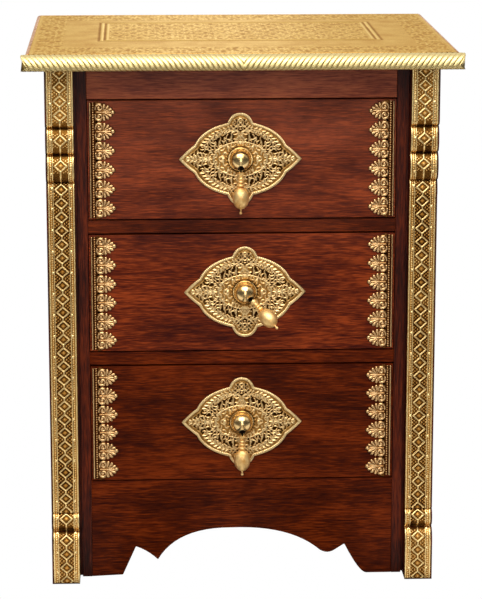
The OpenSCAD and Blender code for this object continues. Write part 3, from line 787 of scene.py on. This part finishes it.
def plate_relief(x, y, edge):
    """Relief of a plate whose four quarters mirror each other, at a distance in from its edge."""
    side, up = np.abs(x), np.abs(y)
    milling = 0.2 * np.cos(2 * math.pi * (side - up) / 2.8)
    parts = [np.where(edge < 3, 0.5 + (0.36 + milling) * rise(edge - 1.5, 1.6), 0.28 * (edge < 5)),
             0.45 * rise(edge - 5.4, 0.7), 0.45 * dot(side, up, 35, 0, 8),
             0.45 * rise(np.hypot(side / 1.3, up - 25), 7)]
    parts += [high * stroke(side, up, foot, tip, half) for high, foot, tip, half in PLATE_STROKES]
    for k in range(5):
        start = FROND_PLACE + FROND_PITCH * k
        parts.append(0.95 * stroke(side, up, (start, 0.9), (start + 3.2, 7.6 - 1.25 * k), 1.4))
    parts.append(dot(side, up, 59, 0, 1.5))
    for turn in range(0, 181, 45):
        foot, tip = (spoke_end(STAR_PLACE, turn, reach) for reach in (1.3, 4.6))
        parts.append(0.85 * stroke(side, up, foot, tip, 1.1))
    ring = np.hypot(side / RING[0], up / RING[1])
    parts.append(0.9 * rise((ring - 1) * 22, 1.1))
    for centre, size in RING_BEADS:
        parts.append(np.minimum(1.2 * dot(side, up, *centre, size), 1))
    for turn in np.arange(14, 80, 13):
        far = math.radians(turn)
        foot = (31.0 * math.cos(far), 21.0 * math.sin(far))
        tip = (35.6 * math.cos(far + 0.16), 26.4 * math.sin(far + 0.16))
        parts.append(0.75 * stroke(side, up, foot, tip, 1.35))
    parts.append(0.7 * rise(away(side, up, VINE), 0.8))
    parts.append(0.95 * leaves_along(VINE, 4.3, 4.8, 1.5, side, up))
    parts.append(0.8 * rise(np.abs(np.hypot(side / 3.4, (up - 40.3) / 4.4) - 1) * 3.8, 0.95))
    parts.append(0.8 * dot(side, up, 0, 40.3, 1.4))
    ground = foliage(side, up, 4.1, 3.8, 1.05)
    ground *= np.interp(edge, [4.2, 4.6, 8, 10], [0, 0.55, 0.55, 0.8])
    return highest(*parts, np.where(ring < 0.95, 0.34 + 0.45 * ground, ground))


def backplate(level):
    name = f"{level}_backplate"
    low, high = (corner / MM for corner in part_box(name))
    cx, cz = (low.x + high.x) / 2, (low.z + high.z) / 2
    back = [(vert.co.x / MM - cx, vert.co.z / MM - cz) for vert in frame["nodes"][name].data.vertices
            if abs(vert.co.y / MM - high.y) < 0.01]
    rim = sorted({(round(math.atan2(z, x), 4), round(x, 3), round(z, 3))
                  for x, z in back if math.hypot(x, z) > 20})
    line = [(x, z) for _, x, z in rim]
    line.append(line[0])
    spokes, rings = PLATE_SPOKES, PLATE_RINGS
    outline = np.interp(np.linspace(0, 2 * math.pi, spokes + 1), [turn for turn, _, _ in rim],
                        [math.hypot(x, z) for _, x, z in rim], period=2 * math.pi)

    def place(spoke, ring):
        behind = ring > rings - 2
        fraction = np.where(ring == rings, 0, np.clip(ring / (rings - 2), 0, 1))
        radius = fraction * outline[spoke.astype(int)]
        turn = 2 * math.pi * spoke / spokes
        x, z = radius * np.cos(turn), radius * np.sin(turn)
        relief = np.maximum(plate_relief(x, z, away(x, z, line)), 0.45 * rise(radius - SEAT_R, 0.8))
        relief = np.where(radius < SEAT_R, SEAT_HIGH, relief)
        relief = np.where(behind, BACK_RELIEF, relief)
        y = high.y - np.where(behind, 0, PLATE_SHEET + relief * PLATE_RELIEF)
        rubbed = np.interp(radius, [SEAT_R, SEAT_R + UNRUBBED], [0.15, 1])
        return np.stack([cx + x, y, cz + z], axis=1), relief * rubbed

    stands_for(skin(f"{level}_chased_backplate", spokes, rings, place, brass_plate), name)


# Pulls: the CAD castings, smooth and bright, with dark painted shade in the slot and on the drop's
# eye
KNOB_R = 12.4
SLOT_SKIN = 0.4
TONGUE_REACH = 4.4


def buffed(name, material, is_shaded):
    """A copy of a casting, painted very dark as shade on the faces whose middles the given test
    picks.
    """
    bm = bmesh.new()
    bm.from_mesh(frame["nodes"][name].data)
    bmesh.ops.remove_doubles(bm, verts=bm.verts, dist=CAD_WELD)
    layer = bm.loops.layers.float.new("painted_shade")
    for face in bm.faces:
        face.smooth = True
        for loop in face.loops:
            loop[layer] = is_shaded(face.calc_center_median() / MM)
    for edge in bm.edges:
        edge.smooth = edge.calc_face_angle(0) < math.radians(32)
    stands_for(finish_mesh(bm, f"{name}_buffed", material), name)


def pull(level):
    low, high = (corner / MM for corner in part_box(f"{level}_knob"))
    centre = Vector(((low.x + high.x) / 2, low.y + KNOB_R, (low.z + high.z) / 2))
    pin = sum(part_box(f"{level}_knob_pin"), Vector()) / 2 / MM

    def in_slot(point):
        return point.y < centre.y + 1 and (point - centre).length < KNOB_R - SLOT_SKIN

    buffed(f"{level}_knob", brass_knob, in_slot)
    buffed(f"{level}_drop", brass_drop, lambda point: (point - pin).length < TONGUE_REACH)
    paint(f"{level}_knob_pin", pin_steel_shaded)
    paint(f"{level}_knob_nut", steel)


ACROSS = {"top_rail": wood_rail_lit, "upper_drawer_rail": wood_shaded, "lower_drawer_rail": wood_shaded,
          "apron": wood_shaded}
UPRIGHT = ("front_post_left", "front_post_right", "rear_post_left", "rear_post_right", "stile_left",
           "stile_right", "side_panel_left", "side_panel_right", "back_panel")


def case_wood():
    for name, material in ACROSS.items():
        eased(name, RAIL_EASE, material)
    for name in UPRIGHT:
        eased(name, POST_EASE, wood_upright)
    paint("top_board", wood_deep)
    paint("bottom_drawer_rail", wood_across)
    for name in ("runners_left", "runners_right", "top_kickers"):
        paint(name, wood_bare_deep)
    paint("drawer_stops", wood_bare_across)
    paint("top_screws", steel)


def drawer(level):
    eased(f"{level}_drawer_front", FRONT_EASE, wood_shaded if level == "bottom" else wood_across)
    for part in ("side_left", "side_right"):
        paint(f"{level}_drawer_{part}", wood_bare_deep)
    for part in ("back", "bottom"):
        paint(f"{level}_drawer_{part}", wood_bare_across)
    pull(level)
    for side in SIDES:
        corner_strip(level, side)
    backplate(level)


# Studio: a grey floor that the camera sees as pure white. For the brass to mirror, it has a dark rug
# along its middle with a pale runner on that, and pale mats before the feet. The room is white
# overhead and behind the chest and dim in front of it. One large lamp hangs above the front, a tall
# one stands ahead and a small one behind.
FLOOR_HALF = 6
RUNNER_HALF = 0.05
RUG_HALF = 0.14
RUG_END = 0.9
MAT_PLACE = 0.38
MAT_HALF = 0.2
FLOOR_GREY = "#84827f"
RUG_DARK = "#383734"
MAT_PALE = "#f4f2ee"
ROOM_LIGHT = 0.45
ROOM_LOW = 0.1
ROOM_HIGH = 1
BRIGHT_WAY = (0, 0.8, 1)


def studio_floor():
    bm = bmesh.new()
    bmesh.ops.create_grid(bm, x_segments=1, y_segments=1, size=FLOOR_HALF)
    material, tree = new_material("studio floor")
    seen = add(tree, "ShaderNodeLightPath").outputs["Is Camera Ray"]
    place = add(tree, "ShaderNodeTexCoord").outputs["Object"]
    place = add(tree, "ShaderNodeSeparateXYZ", {0: place}).outputs
    runner = add(tree, "ShaderNodeMath", {0: place["X"], 1: 0, 2: RUNNER_HALF},
                 operation="COMPARE").outputs[0]
    middle = add(tree, "ShaderNodeMath", {0: place["X"], 1: 0, 2: RUG_HALF},
                 operation="COMPARE").outputs[0]
    near = add(tree, "ShaderNodeMath", {0: place["Y"], 1: -MAT_PLACE, 2: MAT_HALF},
               operation="COMPARE").outputs[0]
    rug = add(tree, "ShaderNodeMath", {0: place["Y"], 1: -RUG_END},
              operation="GREATER_THAN").outputs[0]
    rug = add(tree, "ShaderNodeMath", {0: rug, 1: middle}, operation="MULTIPLY").outputs[0]
    mat = add(tree, "ShaderNodeMath", {0: near, 1: middle}, operation="GREATER_THAN").outputs[0]
    pale = add(tree, "ShaderNodeMath", {0: runner, 1: mat}, operation="MAXIMUM").outputs[0]
    colour = srgb(FLOOR_GREY)
    for part, its_colour in ((rug, RUG_DARK), (pale, MAT_PALE)):
        colour = add(tree, "ShaderNodeMix", {0: part, 6: colour, 7: srgb(its_colour)},
                     data_type="RGBA").outputs[2]
    matt = add(tree, "ShaderNodeBsdfDiffuse", {"Color": colour})
    white = add(tree, "ShaderNodeEmission", {"Color": srgb("#ffffff"), "Strength": 1})
    shader = add(tree, "ShaderNodeMixShader", {0: seen, 1: matt.outputs[0], 2: white.outputs[0]})
    add(tree, "ShaderNodeOutputMaterial", {"Surface": shader.outputs[0]})
    finish_mesh(bm, "floor", material)


def white_room():
    world = bpy.data.worlds.new("white room")
    bpy.context.scene.world = world
    world.use_nodes = True
    tree = world.node_tree
    tree.nodes.clear()
    path = add(tree, "ShaderNodeLightPath").outputs
    toward = add(tree, "ShaderNodeTexCoord").outputs["Generated"]
    toward = add(tree, "ShaderNodeVectorMath", {0: toward, 1: BRIGHT_WAY}, operation="DOT_PRODUCT")
    mirrored = add(tree, "ShaderNodeMapRange", {
        "Value": toward.outputs["Value"], "From Min": 0, "From Max": 0.6, "To Min": ROOM_LOW,
        "To Max": ROOM_HIGH}).outputs[0]
    strength = add(tree, "ShaderNodeMix", {
        0: path["Is Glossy Ray"], 2: ROOM_LIGHT, 3: mirrored}).outputs[0]
    seen = add(tree, "ShaderNodeMath", {0: path["Is Camera Ray"], 1: path["Is Transmission Ray"]},
               operation="MAXIMUM").outputs[0]
    strength = add(tree, "ShaderNodeMix", {0: seen, 2: strength, 3: 1}).outputs[0]
    light = add(tree, "ShaderNodeBackground", {"Color": srgb("#ffffff"), "Strength": strength})
    add(tree, "ShaderNodeOutputWorld", {"Surface": light.outputs[0]})


def lamp(name, place, target, size, watts):
    data = bpy.data.lights.new(name, "AREA")
    data.shape = "RECTANGLE"
    data.size, data.size_y = size
    data.energy = watts
    made = bpy.data.objects.new(name, data)
    made.location = place
    made.rotation_euler = (Vector(target) - Vector(place)).to_track_quat("-Z", "Y").to_euler()
    made.visible_camera = False
    bpy.context.scene.collection.objects.link(made)


photo_camera()
studio_floor()
white_room()
lamp("key lamp", (-0.15, -1.1, 1.8), (0, -0.1, 0.4), (1.7, 1.2), 32)
lamp("tall lamp", (0.03, -2.0, 1.05), (0.03, 0, 0.9), (0.5, 2.0), 9)
lamp("back lamp", (0.05, 2.6, 1.1), (0, 0.1, 0.6), (0.4, 0.8), 2)
bpy.context.scene.view_settings.view_transform = "Standard"
case_wood()
for side in SIDES:
    post_strip(side)
top_sheet()
rope_moulding()
plain_edging()
for level in LEVELS:
    drawer(level)
